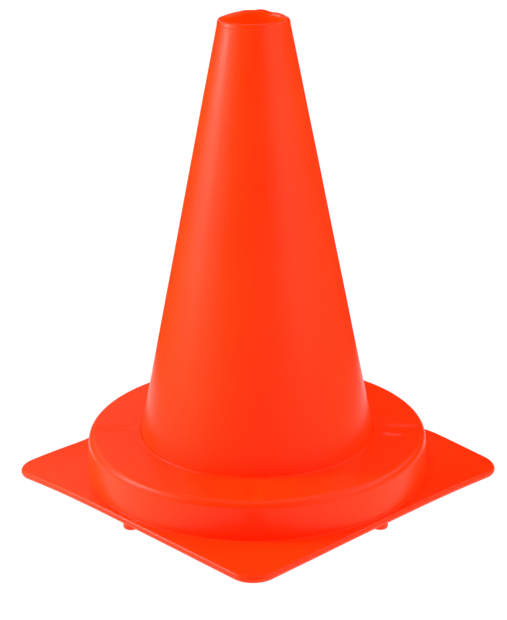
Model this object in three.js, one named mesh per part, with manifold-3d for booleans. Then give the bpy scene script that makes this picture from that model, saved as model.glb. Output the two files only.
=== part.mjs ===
// Traffic cone, 12 inch class, all one colour of soft plastic. Millimetres, +Z up.
// The origin is on the floor under the cone's axis, and the sides of the square base lie along X and Y.
//
// It has two pieces. The tapered sleeve goes up through the base from below, and the flange at its foot
// snaps in between a bead and the ribs of the base, which closes the hollow collar. The base is one
// moulding that stands on four lugs, one in the middle of each side.
import * as THREE from "three";
import { mergeVertices } from "three/addons/utils/BufferGeometryUtils.js";
import Module from "manifold-3d";

// ---------- driving dimensions ----------
const HEIGHT = 305; // floor to rim
const BASE_SIDE = 230;
const BASE_CORNER_R = 16;
const PLATE_BOTTOM_Z = 3.5;
const PLATE_TOP_Z = 8;
const COLLAR_R = 111; // outside, at its foot
const COLLAR_TOP_Z = 33; // the flat deck round the sleeve
const SLEEVE_TOP_R = 21.5; // outside, at the rim
const SLEEVE_DECK_R = 75.7; // outside, level with the deck
const SLEEVE_WALL = 2.8; // measured level
const GAP = 0.35; // between pieces that touch

// ---------- worked out from them ----------
const TAPER = (SLEEVE_DECK_R - SLEEVE_TOP_R) / (HEIGHT - COLLAR_TOP_Z);
const sleeveR = (z) => SLEEVE_TOP_R + (HEIGHT - z) * TAPER; // outside of the sleeve at height z

const COLLAR_DRAFT = 1; // how far the collar's side leans in over its height
const COLLAR_EDGE_R = 5; // round of the collar's top edge
const COLLAR_FILLET_R = 2; // where the collar meets the plate
const HOLLOW_R = 106.5; // inside of the collar
const DECK_THICK = 3;
const DECK_UNDER_Z = COLLAR_TOP_Z - DECK_THICK;
const LIP_HEIGHT = 0.8; // raised lip that hugs the sleeve
const LIP_WIDTH = 1.3;
const LIP_CHAMFER = 0.4;
const BEAD_INNER_R = 104.5; // snap bead under the flange
const BEAD_TOP_Z = PLATE_BOTTOM_Z + 0.8;

const FLANGE_R = HOLLOW_R - 0.5;
const FLANGE_BOTTOM_Z = BEAD_TOP_Z + GAP;
const FLANGE_THICK = 2.5;
const FLANGE_TOP_Z = FLANGE_BOTTOM_Z + FLANGE_THICK;
const RIM_CHAMFER = 0.4;

const RIB_COUNT = 4; // on the diagonals of the square
const RIB_THICK = 3;
const RIB_CLEAR = 1.2; // between a rib and the sleeve
const RIB_BOTTOM_Z = FLANGE_TOP_Z + GAP; // the ribs hold the flange down on the bead

const LUG_R = 5;
const LUG_EDGE_R = 1.2;
const LUG_INSET = 0.5; // from the side of the plate
const LUG_TOP_Z = PLATE_BOTTOM_Z + 0.5; // where it is buried in the plate

const ROUND_SEGMENTS = 96;
const LUG_SEGMENTS = 24;

// ---------- materials ----------
const conePlastic = new THREE.MeshStandardMaterial({ color: 0xff3c14, roughness: 0.45, metalness: 0 });

// ---------- shape helpers ----------
const wasm = await Module();
wasm.setup();

// Turns a closed outline of [radius, height] points round the Z axis.
function revolve(outline, segments) {
  const points = outline.map(([r, z]) => new THREE.Vector2(r, z));
  return new THREE.LatheGeometry([...points, points[0]], segments).rotateX(Math.PI / 2);
}

// Points of an arc of an outline, from angle a to angle b in degrees.
function arc(centreR, centreZ, radius, a, b, steps = 4) {
  return Array.from({ length: steps + 1 }, (_, i) => {
    const angle = THREE.MathUtils.degToRad(a + ((b - a) * i) / steps);
    return [centreR + radius * Math.cos(angle), centreZ + radius * Math.sin(angle)];
  });
}

function toSolid(geometry) {
  const bare = new THREE.BufferGeometry().setIndex(geometry.index);
  bare.setAttribute("position", geometry.getAttribute("position"));
  const merged = mergeVertices(bare, 1e-3);
  return new wasm.Manifold(
    new wasm.Mesh({
      numProp: 3,
      vertProperties: merged.getAttribute("position").array,
      triVerts: new Uint32Array(merged.index.array),
    }),
  );
}

function toGeometry(solid) {
  const mesh = solid.getMesh();
  const geometry = new THREE.BufferGeometry();
  geometry.setAttribute("position", new THREE.BufferAttribute(mesh.vertProperties, 3));
  geometry.setIndex(new THREE.BufferAttribute(mesh.triVerts, 1));
  geometry.computeVertexNormals();
  return geometry;
}

// ---------- sleeve ----------
// The hollow taper with an open top, and the flat flange at its foot.
function sleeveGeometry() {
  const inner = (z) => sleeveR(z) - SLEEVE_WALL;
  return revolve(
    [
      [inner(FLANGE_BOTTOM_Z), FLANGE_BOTTOM_Z],
      [FLANGE_R, FLANGE_BOTTOM_Z],
      [FLANGE_R, FLANGE_TOP_Z],
      [sleeveR(FLANGE_TOP_Z), FLANGE_TOP_Z],
      [sleeveR(COLLAR_TOP_Z), COLLAR_TOP_Z],
      [sleeveR(HEIGHT - RIM_CHAMFER), HEIGHT - RIM_CHAMFER],
      [SLEEVE_TOP_R - RIM_CHAMFER, HEIGHT],
      [inner(HEIGHT) + RIM_CHAMFER, HEIGHT],
      [inner(HEIGHT - RIM_CHAMFER), HEIGHT - RIM_CHAMFER],
      [inner(COLLAR_TOP_Z), COLLAR_TOP_Z],
    ],
    ROUND_SEGMENTS,
  );
}

// ---------- base ----------
function roundedSquare(side, cornerR) {
  const half = side / 2;
  const straight = half - cornerR;
  const shape = new THREE.Shape();
  shape.moveTo(half, -straight);
  for (let quarter = 0; quarter < 4; quarter += 1) {
    const middle = Math.PI / 4 + (quarter * Math.PI) / 2;
    const x = Math.sign(Math.cos(middle)) * straight;
    const y = Math.sign(Math.sin(middle)) * straight;
    shape.absarc(x, y, cornerR, middle - Math.PI / 4, middle + Math.PI / 4, false);
  }
  return shape;
}

// The square plate, with both edges rounded and a hole that the collar fills.
function plateGeometry() {
  const edge = 1.6;
  const shape = roundedSquare(BASE_SIDE - 2 * edge, BASE_CORNER_R - edge);
  shape.holes.push(new THREE.Path().absarc(0, 0, (HOLLOW_R + COLLAR_R) / 2 + edge, 0, 2 * Math.PI, true));
  return new THREE.ExtrudeGeometry(shape, {
    depth: PLATE_TOP_Z - PLATE_BOTTOM_Z - 2 * edge,
    bevelThickness: edge,
    bevelSize: edge,
    bevelSegments: 3,
    curveSegments: 12,
  }).translate(0, 0, PLATE_BOTTOM_Z + edge);
}

// The raised collar: side wall, deck with its lip round the sleeve, and the snap bead at its foot.
function collarGeometry() {
  const sideTopR = COLLAR_R - COLLAR_DRAFT;
  const lipTopZ = COLLAR_TOP_Z + LIP_HEIGHT;
  const holeR = (z) => sleeveR(z) + GAP;
  const lipOuterR = holeR(lipTopZ) + LIP_WIDTH;
  const platePocketZ = (PLATE_BOTTOM_Z + PLATE_TOP_Z) / 2;
  return revolve(
    [
      [BEAD_INNER_R, PLATE_BOTTOM_Z],
      [COLLAR_R, PLATE_BOTTOM_Z],
      [COLLAR_R + COLLAR_FILLET_R, platePocketZ],
      ...arc(COLLAR_R + COLLAR_FILLET_R, PLATE_TOP_Z + COLLAR_FILLET_R, COLLAR_FILLET_R, 270, 180),
      ...arc(sideTopR - COLLAR_EDGE_R, COLLAR_TOP_Z - COLLAR_EDGE_R, COLLAR_EDGE_R, 0, 90, 6),
      [lipOuterR, COLLAR_TOP_Z],
      [lipOuterR, lipTopZ - LIP_CHAMFER],
      [lipOuterR - LIP_CHAMFER, lipTopZ],
      [holeR(lipTopZ), lipTopZ],
      [holeR(DECK_UNDER_Z), DECK_UNDER_Z],
      [HOLLOW_R, DECK_UNDER_Z],
      [HOLLOW_R, BEAD_TOP_Z],
      [BEAD_INNER_R, BEAD_TOP_Z],
    ],
    ROUND_SEGMENTS,
  );
}

// One upright web under the deck, along +X, with an inner edge that follows the sleeve.
function ribGeometry() {
  const bury = 1; // how far it runs into the wall and the deck
  const inner = (z) => sleeveR(z) + RIB_CLEAR;
  const topZ = DECK_UNDER_Z + bury;
  const web = new THREE.Shape();
  web.moveTo(inner(RIB_BOTTOM_Z), RIB_BOTTOM_Z);
  web.lineTo(HOLLOW_R + bury, RIB_BOTTOM_Z);
  web.lineTo(HOLLOW_R + bury, topZ);
  web.lineTo(inner(topZ), topZ);
  return new THREE.ExtrudeGeometry(web, { depth: RIB_THICK, bevelEnabled: false })
    .translate(0, 0, -RIB_THICK / 2)
    .rotateX(Math.PI / 2);
}

// One lug that the base stands on: a round button with a flat sole, out along +X.
function lugGeometry() {
  return revolve(
    [
      [0, 0],
      ...arc(LUG_R - LUG_EDGE_R, LUG_EDGE_R, LUG_EDGE_R, -90, 0, 3),
      [LUG_R, LUG_TOP_Z],
      [0, LUG_TOP_Z],
    ],
    LUG_SEGMENTS,
  ).translate(BASE_SIDE / 2 - LUG_INSET - LUG_R, 0, 0);
}

function baseGeometry() {
  let base = toSolid(plateGeometry()).add(toSolid(collarGeometry()));
  const rib = toSolid(ribGeometry());
  for (let i = 0; i < RIB_COUNT; i += 1) {
    base = base.add(rib.rotate([0, 0, 45 + (360 / RIB_COUNT) * i]));
  }
  const lug = toSolid(lugGeometry());
  for (let side = 0; side < 4; side += 1) {
    base = base.add(lug.rotate([0, 0, 90 * side]));
  }
  return toGeometry(base);
}

// ---------- assembly ----------
function mesh(name, geometry, material) {
  const made = new THREE.Mesh(geometry, material);
  made.name = name;
  return made;
}

const cone = new THREE.Group();
cone.add(mesh("cone_sleeve", sleeveGeometry(), conePlastic));
cone.add(mesh("base", baseGeometry(), conePlastic));

export default cone;
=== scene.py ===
"""Traffic cone in satin fluorescent red-orange soft plastic, on a plain pale studio floor.

Two moulded pieces stand for the two CAD nodes: the tapered sleeve with its knife-trimmed mouth, and
the base with its square plate, round collar, lip, ribs and lugs. Metres, +Z up, in the CAD frame.
"""
import math

import bpy
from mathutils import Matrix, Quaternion, Vector, noise


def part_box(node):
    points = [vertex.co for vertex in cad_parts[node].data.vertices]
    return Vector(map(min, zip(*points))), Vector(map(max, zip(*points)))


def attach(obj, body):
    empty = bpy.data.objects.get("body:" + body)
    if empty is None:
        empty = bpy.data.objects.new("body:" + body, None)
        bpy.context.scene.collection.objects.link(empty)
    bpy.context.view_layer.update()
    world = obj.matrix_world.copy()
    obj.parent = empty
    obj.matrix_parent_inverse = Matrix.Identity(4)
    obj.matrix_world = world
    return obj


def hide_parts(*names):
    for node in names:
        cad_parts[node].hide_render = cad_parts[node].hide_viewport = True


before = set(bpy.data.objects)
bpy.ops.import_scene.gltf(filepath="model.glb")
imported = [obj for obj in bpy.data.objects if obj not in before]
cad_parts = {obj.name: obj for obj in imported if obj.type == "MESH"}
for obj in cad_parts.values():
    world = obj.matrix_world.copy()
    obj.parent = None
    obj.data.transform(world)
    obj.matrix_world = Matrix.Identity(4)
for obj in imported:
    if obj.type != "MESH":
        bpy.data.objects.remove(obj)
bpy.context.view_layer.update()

MM = 0.001

# ---------- sizes, from the frame and from the CAD model's driving dimensions ----------
sleeve_low, sleeve_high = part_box("cone_sleeve")
_, base_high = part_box("base")

HEIGHT = sleeve_high.z
BASE_HALF = base_high.x
CORNER_R = 16 * MM
PLATE_BOTTOM = 3.5 * MM
PLATE_TOP = 8 * MM
PLATE_EDGE_R = 1.9 * MM
PLATE_EDGE_SHARE = 0.48  # most that the round takes of the plate where the plate is narrow
COLLAR_R = 111 * MM
COLLAR_DRAFT = 1 * MM
COLLAR_EDGE_R = 5 * MM
COLLAR_FILLET_R = 0.6 * MM
DECK_Z = 33 * MM
DECK_UNDER = 30 * MM
HOLLOW_R = 106.5 * MM
BEAD_R = 104.5 * MM
BEAD_TOP = PLATE_BOTTOM + 0.8 * MM
SLEEVE_TOP_R = 21.5 * MM
SLEEVE_DECK_R = 75.7 * MM
WALL = 2.8 * MM
GAP = 0.35 * MM
LIP_GAP = 0.12 * MM  # the lip hugs the sleeve closer than the hole below it
LIP_HEIGHT = base_high.z - DECK_Z
LIP_WIDTH = 1.3 * MM
LIP_ROUND = 0.35 * MM
LIP_BEVEL = 0.2 * MM
HUG_DEPTH = 0.5 * MM  # how far below the deck the hole gets its full gap
FLANGE_R = sleeve_high.x
FLANGE_BOTTOM = sleeve_low.z
FLANGE_TOP = FLANGE_BOTTOM + 2.5 * MM
RIB_THICK = 3 * MM
RIB_CLEAR = 1.2 * MM  # to the sleeve
RIB_BURY = 1 * MM  # into the deck and the side of the collar
LUG_R = 5 * MM
LUG_INSET = 0.5 * MM
LUG_EDGE_R = 1.4 * MM
LUG_BURY = 0.9 * MM  # into the plate

TAPER = (SLEEVE_DECK_R - SLEEVE_TOP_R) / (HEIGHT - DECK_Z)


def sleeve_r(z):
    """Outside radius of the sleeve at height z."""
    return SLEEVE_TOP_R + (HEIGHT - z) * TAPER


# ---------- how the real moulding departs from the drawing ----------
RIM_LEVEL = HEIGHT - 0.9 * MM  # where the knife cut it, on average
RIM_HUMPS = (  # direction, half width in degrees, and height of each rise and dip of the cut
    (32, 11, 0.9 * MM),
    (57, 12, 0.6 * MM),
    (12, 8, -0.3 * MM),
    (-22, 16, -0.6 * MM),
    (104, 20, -0.7 * MM),
    (228, 60, 0.8 * MM),
)
RIM_NICKS = 0.15 * MM
RIM_NICK_RATE = 6  # how fast the nicks change round the rim
RIM_NICK_SEED = 9.7
RIM_ROUND_Z = 2.6 * MM  # how far down the rounding of the rim goes
RIM_LINE = (0.22 * MM, 0.55 * MM)  # height and half width of the witness line where it ends
RIM_LINE_REACH = 2 * MM  # the rows are closer together this far below it

SINK_DEPTH = 0.8 * MM  # hollows over the ribs, in the deck and in the side of the collar
SINK_HALF_WIDTH = 6 * MM
SINK_SIDE_SHARE = 0.8  # of the depth, in the side of the collar
SINK_END_CURVE = 0.6  # below 1, so that the hollow in the deck ends briskly
SINK_SIDE_START = PLATE_TOP + 1 * MM
SINK_INNER = SLEEVE_DECK_R + 4 * MM
SINK_OUTER = COLLAR_R - COLLAR_DRAFT - 0.5 * COLLAR_EDGE_R
SINK_DECK_REACH = 0.6 * MM  # the upper end of the collar's round sinks with the deck
SKIN_DEPTH = 1 * MM  # what lies less than this outside the hollow is its inner wall
ON_DECK = 0.05 * MM  # what lies this close to the height of the deck is on it

# The one fold in the deck: direction in degrees, distance, half length, half width and rise.
FOLD = (309, 89 * MM, 6.5 * MM, 3.2 * MM, 1.3 * MM)

SURFACE_WANDER = 0.12 * MM  # slow waviness of the soft walls
SLEEVE_WANDER_SIZE = 45 * MM
SLEEVE_WANDER_R = 50 * MM  # the sleeve's waviness is read off a cylinder of this radius
SLEEVE_WANDER_START = 30 * MM  # over the lip, where it reaches its full height
BASE_WANDER_SIZE = 50 * MM
BASE_WANDER_START = SLEEVE_DECK_R + 8 * MM
DECK_WANDER_SHARE = 0.5  # the deck is stiffer than the plate and waves this much as far
SLEEVE_LEAN = Vector((0.0016, -0.0018, 0))  # sideways, for each unit of height over the lip

# The soft plate is not flat. Each corner, and each warped stretch of edge with its half width, is told
# by its direction in degrees, with how far it hangs there.
CORNER_DROOP = ((45, 1.5 * MM), (135, 2.7 * MM), (225, 0.2 * MM), (315, 2.7 * MM))
DROOP_CURVE = 1.3  # above 1, so that the plate leaves the collar level
EDGE_WARP = ((112, 17, 3.0 * MM), (-22, 17, -2.4 * MM))
WARP_START_RATE = 3  # an edge warps fully at a third of the way from the collar to a corner
COLLAR_TO_CORNER = 45 * MM
DEEPEST_WARP = 3.2 * MM  # the underside stays clear of the floor

# ---------- mesh settings ----------
INSIDE_SHARE = 0.7  # how far into the wall, as a share of it, the inside with the painted glow begins
SLEEVE_COLUMNS = 288
BASE_COLUMNS = 768
LUG_COLUMNS = 64


# ---------- mesh helpers ----------
def arc(centre_r, centre_z, radius, start, end, steps):
    """Points of an arc of a profile, from start to end in degrees."""
    points = []
    for i in range(steps + 1):
        angle = math.radians(start + (end - start) * i / steps)
        points.append((centre_r + radius * math.cos(angle), centre_z + radius * math.sin(angle)))
    return points


def line(start, end, steps):
    """Points from start up to, but not at, end."""
    return [
        (start[0] + (end[0] - start[0]) * i / steps, start[1] + (end[1] - start[1]) * i / steps)
        for i in range(steps)
    ]


def mesh_object(name, verts, faces):
    """A new object of its own mesh, in the scene."""
    mesh = bpy.data.meshes.new(name)
    mesh.from_pydata(verts, [], faces)
    obj = bpy.data.objects.new(name, mesh)
    bpy.context.scene.collection.objects.link(obj)
    return obj


def ring_mesh(name, angles, profile_at, place):
    """A closed ring: one closed profile at each angle, joined by quads facing out."""
    verts = []
    for theta in angles:
        for r, z in profile_at(theta):
            verts.append(place(theta, r, z))
    rows = len(verts) // len(angles)
    faces = []
    for c in range(len(angles)):
        here = c * rows
        there = (c + 1) % len(angles) * rows
        for r in range(rows):
            up = (r + 1) % rows
            faces.append((here + r, there + r, there + up, here + up))
    return mesh_object(name, verts, faces)


def union(obj, others):
    """Joins closed meshes to obj, so that they are one solid."""
    for other in others:
        modifier = obj.modifiers.new("join", "BOOLEAN")
        modifier.operation = "UNION"
        modifier.solver = "EXACT"
        modifier.object = other
    evaluated = obj.evaluated_get(bpy.context.evaluated_depsgraph_get())
    joined = bpy.data.meshes.new_from_object(evaluated)
    obj.modifiers.clear()
    obj.data = joined
    for other in others:
        bpy.data.objects.remove(other)


def smooth(obj):
    """Smooth shading, with normals that keep the flat faces flat."""
    for polygon in obj.data.polygons:
        polygon.use_smooth = True
    modifier = obj.modifiers.new("normals", "WEIGHTED_NORMAL")
    modifier.keep_sharp = True


def turn_between(theta, degrees):
    """The angle from a direction in degrees round to theta, within half a turn."""
    return (theta - math.radians(degrees) + math.pi) % (2 * math.pi) - math.pi


def wander(x, y, z, scale, amount):
    """Slow noise, the same every run: scale is the size of its waves."""
    return amount * noise.noise(Vector((x, y, z)) / scale)


# ---------- sleeve ----------
def rim_z(theta):
    """Height of the trimmed rim in direction theta, never above the CAD rim."""
    z = RIM_LEVEL
    for degrees, width, height in RIM_HUMPS:
        off = turn_between(theta, degrees) / math.radians(width)
        z += height * math.exp(-off * off)
    x, y = RIM_NICK_RATE * math.cos(theta), RIM_NICK_RATE * math.sin(theta)
    z += RIM_NICKS * noise.noise(Vector((x, y, RIM_NICK_SEED)))
    return min(z, HEIGHT)


def sleeve_profile(theta):
    """Closed profile of the sleeve in direction theta, from its inner foot out, up and back down."""
    wall_top = rim_z(theta) - RIM_ROUND_Z
    wall_high = wall_top - RIM_LINE_REACH
    inner_foot = (sleeve_r(FLANGE_BOTTOM) - WALL, FLANGE_BOTTOM)
    outer_foot = (sleeve_r(FLANGE_TOP), FLANGE_TOP)
    high = (sleeve_r(wall_high), wall_high)
    points = line(inner_foot, (FLANGE_R, FLANGE_BOTTOM), steps=12)
    points += line((FLANGE_R, FLANGE_BOTTOM), (FLANGE_R, FLANGE_TOP), steps=3)
    points += line((FLANGE_R, FLANGE_TOP), outer_foot, steps=10)
    points += line(outer_foot, high, steps=130)
    points += line(high, (sleeve_r(wall_top), wall_top), steps=10)
    middle = sleeve_r(wall_top) - WALL / 2
    points += [
        (middle + WALL / 2 * math.cos(a), wall_top + RIM_ROUND_Z * math.sin(a))
        for a in (math.radians(9 * i) for i in range(21))
    ]
    points += line((middle - WALL / 2, wall_top), inner_foot, steps=90)[1:]
    return points


def place_sleeve(theta, r, z):
    """Where a point of the profile lies, with the witness line, the waviness and the lean."""
    over_lip = max(0.0, z - DECK_Z - LIP_HEIGHT)
    free = min(1.0, over_lip / SLEEVE_WANDER_START)
    x, y = math.cos(theta), math.sin(theta)
    line_rise, line_half_width = RIM_LINE
    off = (z - rim_z(theta) + RIM_ROUND_Z) / line_half_width
    if r > sleeve_r(z) - WALL / 2:
        r += line_rise * math.exp(-off * off)
    r += free * wander(x * SLEEVE_WANDER_R, y * SLEEVE_WANDER_R, z, SLEEVE_WANDER_SIZE, SURFACE_WANDER)
    lean = SLEEVE_LEAN * over_lip
    return (r * x + lean.x, r * y + lean.y, z)


def make_sleeve():
    angles = [2 * math.pi * i / SLEEVE_COLUMNS for i in range(SLEEVE_COLUMNS)]
    return ring_mesh("sleeve_moulding", angles, sleeve_profile, place_sleeve)


def mark_painted_glow_inside(sleeve):
    """Gives the faces inside the wall the second material, whose painted glow stands for the light that
    comes through the wall.
    """
    for polygon in sleeve.data.polygons:
        x, y, z = polygon.center
        if z > FLANGE_TOP and math.hypot(x, y) < sleeve_r(z) - INSIDE_SHARE * WALL:
            polygon.material_index = 1


# ---------- base ----------
def outline(columns):
    """(angle, distance) of the plate's rounded square, at even steps along its side."""
    straight = 2 * (BASE_HALF - CORNER_R)
    quarter = 0.5 * math.pi * CORNER_R
    side = straight + quarter
    points = []
    for i in range(columns):
        along = 4 * side * i / columns
        turn = int(along // side)
        rest = along - turn * side
        if rest < straight:
            x, y = BASE_HALF, rest - straight / 2
        else:
            bend = (rest - straight) / CORNER_R
            x = BASE_HALF - CORNER_R + CORNER_R * math.cos(bend)
            y = BASE_HALF - CORNER_R + CORNER_R * math.sin(bend)
        points.append((math.atan2(y, x) + turn * math.pi / 2, math.hypot(x, y)))
    return points


def hole(z):
    """Radius of the hole for the sleeve."""
    return sleeve_r(z) + GAP


def hug(z):
    """Radius of the inside of the lip."""
    return sleeve_r(z) + LIP_GAP


def base_profile(reach):
    """Closed profile of the base out to distance reach, where the plate ends."""
    side_top = COLLAR_R - COLLAR_DRAFT
    lip_top = DECK_Z + LIP_HEIGHT
    lip_out = hole(lip_top) + LIP_WIDTH
    fillet_r = COLLAR_R + COLLAR_FILLET_R
    edge = min(PLATE_EDGE_R, PLATE_EDGE_SHARE * (reach - COLLAR_R))
    mid = 0.5 * (PLATE_TOP + PLATE_BOTTOM)
    half = 0.5 * (PLATE_TOP - PLATE_BOTTOM)
    flat_start = min(fillet_r, reach - edge)
    points = line((BEAD_R, PLATE_BOTTOM), (reach - edge, PLATE_BOTTOM), steps=14)
    points += [
        (reach - edge + edge * math.cos(a), mid + half * math.sin(a))
        for a in (math.radians(-90 + 15 * i) for i in range(13))
    ]
    points += line((reach - edge, PLATE_TOP), (flat_start, PLATE_TOP), steps=14)[1:]
    points += arc(fillet_r, PLATE_TOP + COLLAR_FILLET_R, COLLAR_FILLET_R, 270, 180, steps=8)
    side_foot = (COLLAR_R, PLATE_TOP + COLLAR_FILLET_R)
    points += line(side_foot, (side_top, DECK_Z - COLLAR_EDGE_R), steps=8)[1:]
    points += arc(side_top - COLLAR_EDGE_R, DECK_Z - COLLAR_EDGE_R, COLLAR_EDGE_R, 0, 90, steps=12)
    points += line((side_top - COLLAR_EDGE_R, DECK_Z), (lip_out + LIP_ROUND, DECK_Z), steps=22)[1:]
    points += arc(lip_out + LIP_ROUND, DECK_Z + LIP_ROUND, LIP_ROUND, 270, 180, steps=4)
    points += arc(lip_out - LIP_ROUND, lip_top - LIP_ROUND, LIP_ROUND, 0, 90, steps=5)
    points += [(hug(lip_top) + LIP_BEVEL, lip_top), (hug(lip_top - LIP_BEVEL), lip_top - LIP_BEVEL)]
    points += [(hug(DECK_Z), DECK_Z)]
    hole_top = DECK_Z - HUG_DEPTH
    points += line((hole(hole_top), hole_top), (hole(DECK_UNDER), DECK_UNDER), steps=3)
    points += line((hole(DECK_UNDER), DECK_UNDER), (HOLLOW_R, DECK_UNDER), steps=8)
    points += line((HOLLOW_R, DECK_UNDER), (HOLLOW_R, BEAD_TOP), steps=8)
    points += [(HOLLOW_R, BEAD_TOP), (BEAD_R, BEAD_TOP)]
    return points


def droop(theta, r):
    """How far the plate hangs at this place: nothing at the collar, most at the corners."""
    out = max(0.0, (r - COLLAR_R) / COLLAR_TO_CORNER)
    total = 0.0
    for degrees, depth in CORNER_DROOP:
        off = turn_between(theta, degrees)
        if abs(off) < math.pi / 4:
            total += depth * math.cos(2 * off) ** 2 * min(1.0, out) ** DROOP_CURVE
    for degrees, width, depth in EDGE_WARP:
        off = turn_between(theta, degrees) / math.radians(width)
        total += depth * math.exp(-off * off) * min(1.0, WARP_START_RATE * out)
    return min(total, DEEPEST_WARP)


def sink(theta, r, z):
    """How far the skin sinks over a rib, as (inwards, down)."""
    off = turn_between(theta % (math.pi / 2), 45)
    across = abs(r * math.sin(off)) / SINK_HALF_WIDTH
    if across >= 1 or z < SINK_SIDE_START or z > DECK_Z + ON_DECK:
        return 0.0, 0.0
    depth = SINK_DEPTH * (1 - across * across) ** 2
    if z > DECK_Z - SINK_DECK_REACH:
        along = (r - SINK_INNER) / (SINK_OUTER - SINK_INNER)
        return (0.0, depth * math.sin(math.pi * along) ** SINK_END_CURVE) if 0 < along < 1 else (0.0, 0.0)
    along = (z - SINK_SIDE_START) / (DECK_Z - COLLAR_EDGE_R - PLATE_TOP)
    if r > HOLLOW_R + SKIN_DEPTH and 0 < along < 1:
        return SINK_SIDE_SHARE * depth * math.sin(math.pi * along), 0.0
    return 0.0, 0.0


def fold(theta, r, z):
    """The short raised fold in the deck."""
    if abs(z - DECK_Z) > ON_DECK:
        return 0.0
    degrees, distance, half_length, half_width, rise = FOLD
    off = turn_between(theta, degrees)
    along, across = (r * math.cos(off) - distance) / half_length, r * math.sin(off) / half_width
    return rise * math.exp(-(along**4) - across * across)


def place_base(theta, r, z):
    """Where a point of the profile lies, with the sinks, the waviness, the droop and the fold."""
    x, y = r * math.cos(theta), r * math.sin(theta)
    inwards, down = sink(theta, r, z)
    skin = 1.0 if r > BASE_WANDER_START and z > PLATE_BOTTOM else 0.0
    lift = skin * wander(x, y, z, BASE_WANDER_SIZE, SURFACE_WANDER)
    if r <= COLLAR_R:
        lift *= DECK_WANDER_SHARE
    z_out = z - droop(theta, r) - down + lift
    z_out += fold(theta, r, z)
    shrink = 1 - inwards / r
    return (x * shrink, y * shrink, min(z_out, DECK_Z + LIP_HEIGHT))


def make_lug(index):
    """One low round lug with a flat sole, buried in the plate's underside."""
    top = PLATE_BOTTOM + LUG_BURY
    rings = arc(LUG_R - LUG_EDGE_R, LUG_EDGE_R, LUG_EDGE_R, -90, 0, steps=8) + [(LUG_R, top)]
    turn = index * math.pi / 2
    reach = BASE_HALF - LUG_INSET - LUG_R
    cx, cy = reach * math.cos(turn), reach * math.sin(turn)
    sole, lid = 0, 1
    verts = [(cx, cy, 0.0), (cx, cy, top)]
    for r, z in rings:
        for c in range(LUG_COLUMNS):
            a = 2 * math.pi * c / LUG_COLUMNS
            verts.append((cx + r * math.cos(a), cy + r * math.sin(a), z))
    starts = [2 + k * LUG_COLUMNS for k in range(len(rings))]  # first vertex of each ring
    faces = []
    for c in range(LUG_COLUMNS):
        n = (c + 1) % LUG_COLUMNS
        faces.append((sole, starts[0] + n, starts[0] + c))
        faces.append((lid, starts[-1] + c, starts[-1] + n))
        for low, high in zip(starts, starts[1:]):
            faces.append((low + c, low + n, high + n, high + c))
    return mesh_object("lug", verts, faces)


def make_rib(index):
    """One upright web under the deck, on a diagonal of the square."""
    bottom, top = FLANGE_TOP + GAP, DECK_UNDER + RIB_BURY
    turn = math.radians(45 + 90 * index)
    along = Vector((math.cos(turn), math.sin(turn), 0))
    across = Vector((-math.sin(turn), math.cos(turn), 0)) * RIB_THICK / 2
    web = [
        (sleeve_r(bottom) + RIB_CLEAR, bottom),
        (HOLLOW_R + RIB_BURY, bottom),
        (HOLLOW_R + RIB_BURY, top),
        (sleeve_r(top) + RIB_CLEAR, top),
    ]
    verts = [tuple(along * r + Vector((0, 0, z)) + across * s) for s in (-1, 1) for r, z in web]
    faces = [(0, 1, 2, 3), (7, 6, 5, 4)]
    faces += [(i, i + 4, (i + 1) % 4 + 4, (i + 1) % 4) for i in range(4)]
    return mesh_object("rib", verts, faces)


def make_base():
    points = outline(BASE_COLUMNS)
    reach_at = dict(points)
    base = ring_mesh(
        "base_moulding", [p[0] for p in points], lambda t: base_profile(reach_at[t]), place_base
    )
    union(base, [make_lug(i) for i in range(4)] + [make_rib(i) for i in range(4)])
    return base


# ---------- material ----------
# Painted light: the plastic glows by itself, whatever the lamps do, so it stays bright in shade.
PAINTED_DYE_GLOW = (1.0, 0.0, 0.0, 1)  # painted glow: a fixed red emission that stands for the dye's fluorescence and keeps even the shaded parts bright red
INSIDE_PAINTED_GLOW = (1.0, 0.07, 0.002, 1)  # inside the sleeve a more orange painted glow, which also stands for the light that comes through the wall
PAINTED_GLOW_STRENGTH = 0.4
PALE, DEEP = (1.0, 0.061, 0.0025, 1), (1.0, 0.050, 0.0015, 1)  # ends of the colour's slow drift
GLOSSY, MATT = (0.29, 0.29, 0.29, 1), (0.36, 0.36, 0.36, 1)  # ends of the roughness
RAMP_START, RAMP_END = 0.3, 0.7  # where noise reaches the two ends
BUMPS = (  # noise scale, detail, and depth in metres
    (45, 2, 0.0002),  # slow ripple of the wall
    (170, 1, 0.00003),  # blotches of a few millimetres
    (900, 2, 0.000004),  # fine orange peel
)


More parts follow.
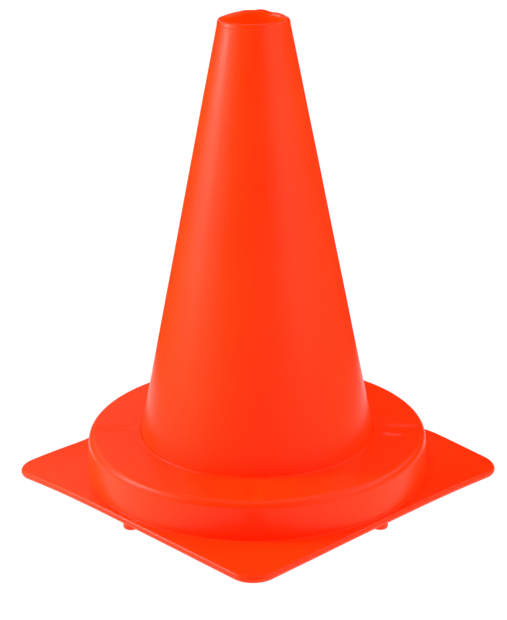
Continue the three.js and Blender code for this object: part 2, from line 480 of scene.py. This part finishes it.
def pvc(name, glow):
    """Satin fluorescent soft plastic, with a slow drift of its colour, a fine mottle of its gloss, and a
    painted glow in the given colour that keeps it lit even in shade.
    """
    material = bpy.data.materials.new(name)
    material.use_nodes = True
    tree = material.node_tree
    nodes, links = tree.nodes, tree.links
    shader = nodes["Principled BSDF"]
    shader.inputs["Subsurface Weight"].default_value = 0.12
    shader.inputs["Subsurface Radius"].default_value = (1.0, 0.25, 0.08)
    shader.inputs["Subsurface Scale"].default_value = 0.002
    shader.inputs["IOR"].default_value = 1.5
    shader.inputs["Specular IOR Level"].default_value = 0.2
    # Painted glow: emission that keeps the plastic bright even where no lamp reaches.
    shader.inputs["Emission Color"].default_value = glow
    shader.inputs["Emission Strength"].default_value = PAINTED_GLOW_STRENGTH
    place = nodes.new("ShaderNodeTexCoord")

    def noise_node(scale, detail, roughness=0.5):
        node = nodes.new("ShaderNodeTexNoise")
        node.inputs["Scale"].default_value = scale
        node.inputs["Detail"].default_value = detail
        node.inputs["Roughness"].default_value = roughness
        links.new(place.outputs["Object"], node.inputs["Vector"])
        return node

    def ramp(source, low_colour, high_colour):
        node = nodes.new("ShaderNodeValToRGB")
        start, end = node.color_ramp.elements
        start.position, end.position = RAMP_START, RAMP_END
        start.color, end.color = low_colour, high_colour
        links.new(source.outputs["Fac"], node.inputs["Fac"])
        return node

    colour = ramp(noise_node(scale=14, detail=3), DEEP, PALE)
    links.new(colour.outputs["Color"], shader.inputs["Base Color"])

    rough = ramp(noise_node(scale=150, detail=4, roughness=0.6), GLOSSY, MATT)
    links.new(rough.outputs["Color"], shader.inputs["Roughness"])

    normal = None
    for scale, detail, depth in BUMPS:
        height = noise_node(scale, detail)
        bump = nodes.new("ShaderNodeBump")
        bump.inputs["Strength"].default_value = 1.0
        bump.inputs["Distance"].default_value = depth
        links.new(height.outputs["Fac"], bump.inputs["Height"])
        if normal:
            links.new(normal, bump.inputs["Normal"])
        normal = bump.outputs["Normal"]
    links.new(normal, shader.inputs["Normal"])
    return material


# ---------- studio ----------
CAMERA_AZIMUTH = math.radians(-43.8)  # 0 looks along +Y
CAMERA_PAN = math.radians(0.07)
CAMERA_DISTANCE = 1.159
CAMERA_HEIGHT = 0.561
CAMERA_PITCH = math.radians(21.04)
CAMERA_ROLL = math.radians(-0.65)
CAMERA_LENS = 112.9

ROOM_LIGHT = 0.0  # how bright the room beyond the floor is to the cone
PAPER_SEEN = 1.0  # and to the camera

# The floor is paper that gives light, so that it reads as white. Under the cone it glows dimly, as if the
# light on it had come through the plastic.
UNDER_R = 0.1
SHEET_R = 0.27
FLOOR_R = 6
FLOOR_SIDES = 60
FLOOR_GLOW = (1.0, 1.0, 1.0, 1)
UNDER_GLOW = (0.5, 0.06, 0.004, 1)

# Soft boxes: name, degrees round to the right from the camera's own direction, distance from the cone's
# axis, height, width and height of the box, watts, and the height on the axis that it faces.
LAMPS = (
    ("left_back_box", -105, 0.9, 0.45, (0.32, 0.8), 1.05, 0.14),
    ("left_box", -85, 0.9, 0.45, (0.32, 0.8), 2.5, 0.14),
    ("left_front_box", -63, 0.9, 0.45, (0.36, 0.8), 1.1, 0.14),
    ("left_strip", -89, 0.75, 0.52, (0.05, 0.42), 2.6, 0.28),
    ("left_wide_strip", -96, 0.75, 0.52, (0.12, 0.4), 0.9, 0.28),
    ("left_high_box", -120, 0.95, 0.8, (0.7, 0.25), 0.7, 0.12),
    ("right_front_box", 32, 0.9, 0.45, (0.26, 0.8), 0.3, 0.14),
    ("right_box", 57, 0.9, 0.45, (0.58, 0.8), 1.9, 0.14),
    ("right_side_box", 85, 0.9, 0.45, (0.32, 0.8), 0.55, 0.14),
    ("right_high_box", 105, 0.95, 0.8, (1.1, 0.25), 2.3, 0.12),
    ("top_box", 180, 0.05, 1.2, (0.9, 0.9), 2.0, 0.05),
    ("top_right_box", 90, 0.6, 1.1, (0.9, 0.9), 1.9, 0.05),
    ("back_high_box", 180, 0.62, 1.0, (0.5, 0.3), 1.6, 0.03),
    ("back_left_box", -138, 1.2, 0.6, (0.6, 0.4), 0.55, 0.03),
    ("back_box", -161, 1.2, 0.6, (0.6, 0.4), 0.4, 0.03),
)


def towards(azimuth):
    """Level direction that a camera at this azimuth looks along."""
    return Vector((-math.sin(azimuth), math.cos(azimuth), 0))


def make_camera():
    """The photograph's own viewpoint, from a fit to the cone's outline."""
    data = bpy.data.cameras.new("camera")
    data.lens = CAMERA_LENS
    data.sensor_width = 36
    camera = bpy.data.objects.new("camera", data)
    bpy.context.scene.collection.objects.link(camera)
    camera.location = -towards(CAMERA_AZIMUTH) * CAMERA_DISTANCE + Vector((0, 0, CAMERA_HEIGHT))
    camera.rotation_mode = "QUATERNION"
    forward = towards(CAMERA_AZIMUTH + CAMERA_PAN)
    aim = forward * math.cos(CAMERA_PITCH) - Vector((0, 0, math.sin(CAMERA_PITCH)))
    turn = aim.to_track_quat("-Z", "Y")
    camera.rotation_quaternion = turn @ Quaternion((0, 0, 1), CAMERA_ROLL)
    bpy.context.scene.camera = camera


def soft_box(name, side, away, height, size, power, aim_height):
    """A rectangular lamp, as a line of LAMPS tells it."""
    data = bpy.data.lights.new(name, "AREA")
    data.shape = "RECTANGLE"
    data.size, data.size_y = size
    data.energy = power
    light = bpy.data.objects.new(name, data)
    bpy.context.scene.collection.objects.link(light)
    out = -towards(CAMERA_AZIMUTH + math.radians(side))
    light.location = out * away + Vector((0, 0, height))
    aim = Vector((0, 0, aim_height)) - light.location
    light.rotation_mode = "QUATERNION"
    light.rotation_quaternion = aim.to_track_quat("-Z", "Y")


def make_studio():
    """Soft boxes in a dark room."""
    scene = bpy.context.scene
    scene.view_settings.view_transform = "Standard"
    world = bpy.data.worlds.new("studio")
    world.use_nodes = True
    background = world.node_tree.nodes["Background"]
    background.inputs["Color"].default_value = (1, 1, 1, 1)
    # The room gives no light, and what lies past the floor's far edge is seen as white paper.
    seen = world.node_tree.nodes.new("ShaderNodeLightPath")
    level = world.node_tree.nodes.new("ShaderNodeMapRange")
    level.inputs["To Min"].default_value = ROOM_LIGHT
    level.inputs["To Max"].default_value = PAPER_SEEN
    world.node_tree.links.new(seen.outputs["Is Camera Ray"], level.inputs["Value"])
    world.node_tree.links.new(level.outputs["Result"], background.inputs["Strength"])
    scene.world = world
    for lamp in LAMPS:
        soft_box(*lamp)


def paper(name, glow):
    """Matt paper that gives light."""
    material = bpy.data.materials.new(name)
    material.use_nodes = True
    shader = material.node_tree.nodes["Principled BSDF"]
    shader.inputs["Base Color"].default_value = (0.1, 0.1, 0.1, 1)
    shader.inputs["Roughness"].default_value = 0.9
    shader.inputs["Specular IOR Level"].default_value = 0.1
    shader.inputs["Emission Color"].default_value = glow
    shader.inputs["Emission Strength"].default_value = 1.0
    return material


def circle(radius):
    """Points of a circle on the floor."""
    angles = [2 * math.pi * i / FLOOR_SIDES for i in range(FLOOR_SIDES)]
    return [(radius * math.cos(a), radius * math.sin(a), 0) for a in angles]


def make_floor():
    """A patch under the cone, the sheet that the cone mirrors, and the rest, which it doesn't."""
    lit, under = paper("floor_paper", FLOOR_GLOW), paper("floor_paper_under", UNDER_GLOW)
    patch, sheet, far = circle(UNDER_R), circle(SHEET_R), circle(FLOOR_R)
    count = FLOOR_SIDES
    band = [(i, count + i, count + (i + 1) % count, (i + 1) % count) for i in range(count)]
    for name, verts, faces, material in (
        ("floor_under", patch, [tuple(range(count))], under),
        ("floor_sheet", patch + sheet, band, lit),
        ("floor", sheet + far, band, lit),
    ):
        ground = mesh_object(name, verts, faces)
        ground.data.materials.append(material)
        ground.visible_glossy = name != "floor"


# ---------- build ----------
make_camera()
make_studio()
make_floor()

sleeve, base = make_sleeve(), make_base()
# Both pieces get the plastic with the painted red glow.
for piece, node in ((sleeve, "cone_sleeve"), (base, "base")):
    piece.data.materials.clear()
    piece.data.materials.append(pvc(f"{node}_pvc", PAINTED_DYE_GLOW))
    smooth(piece)
    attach(piece, "root")
    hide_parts(node)
# The inside of the sleeve has its own painted glow, more orange, which stands for the light coming through
# the wall.
sleeve.data.materials.append(pvc("cone_sleeve_pvc_inside_painted_glow", INSIDE_PAINTED_GLOW))
mark_painted_glow_inside(sleeve)
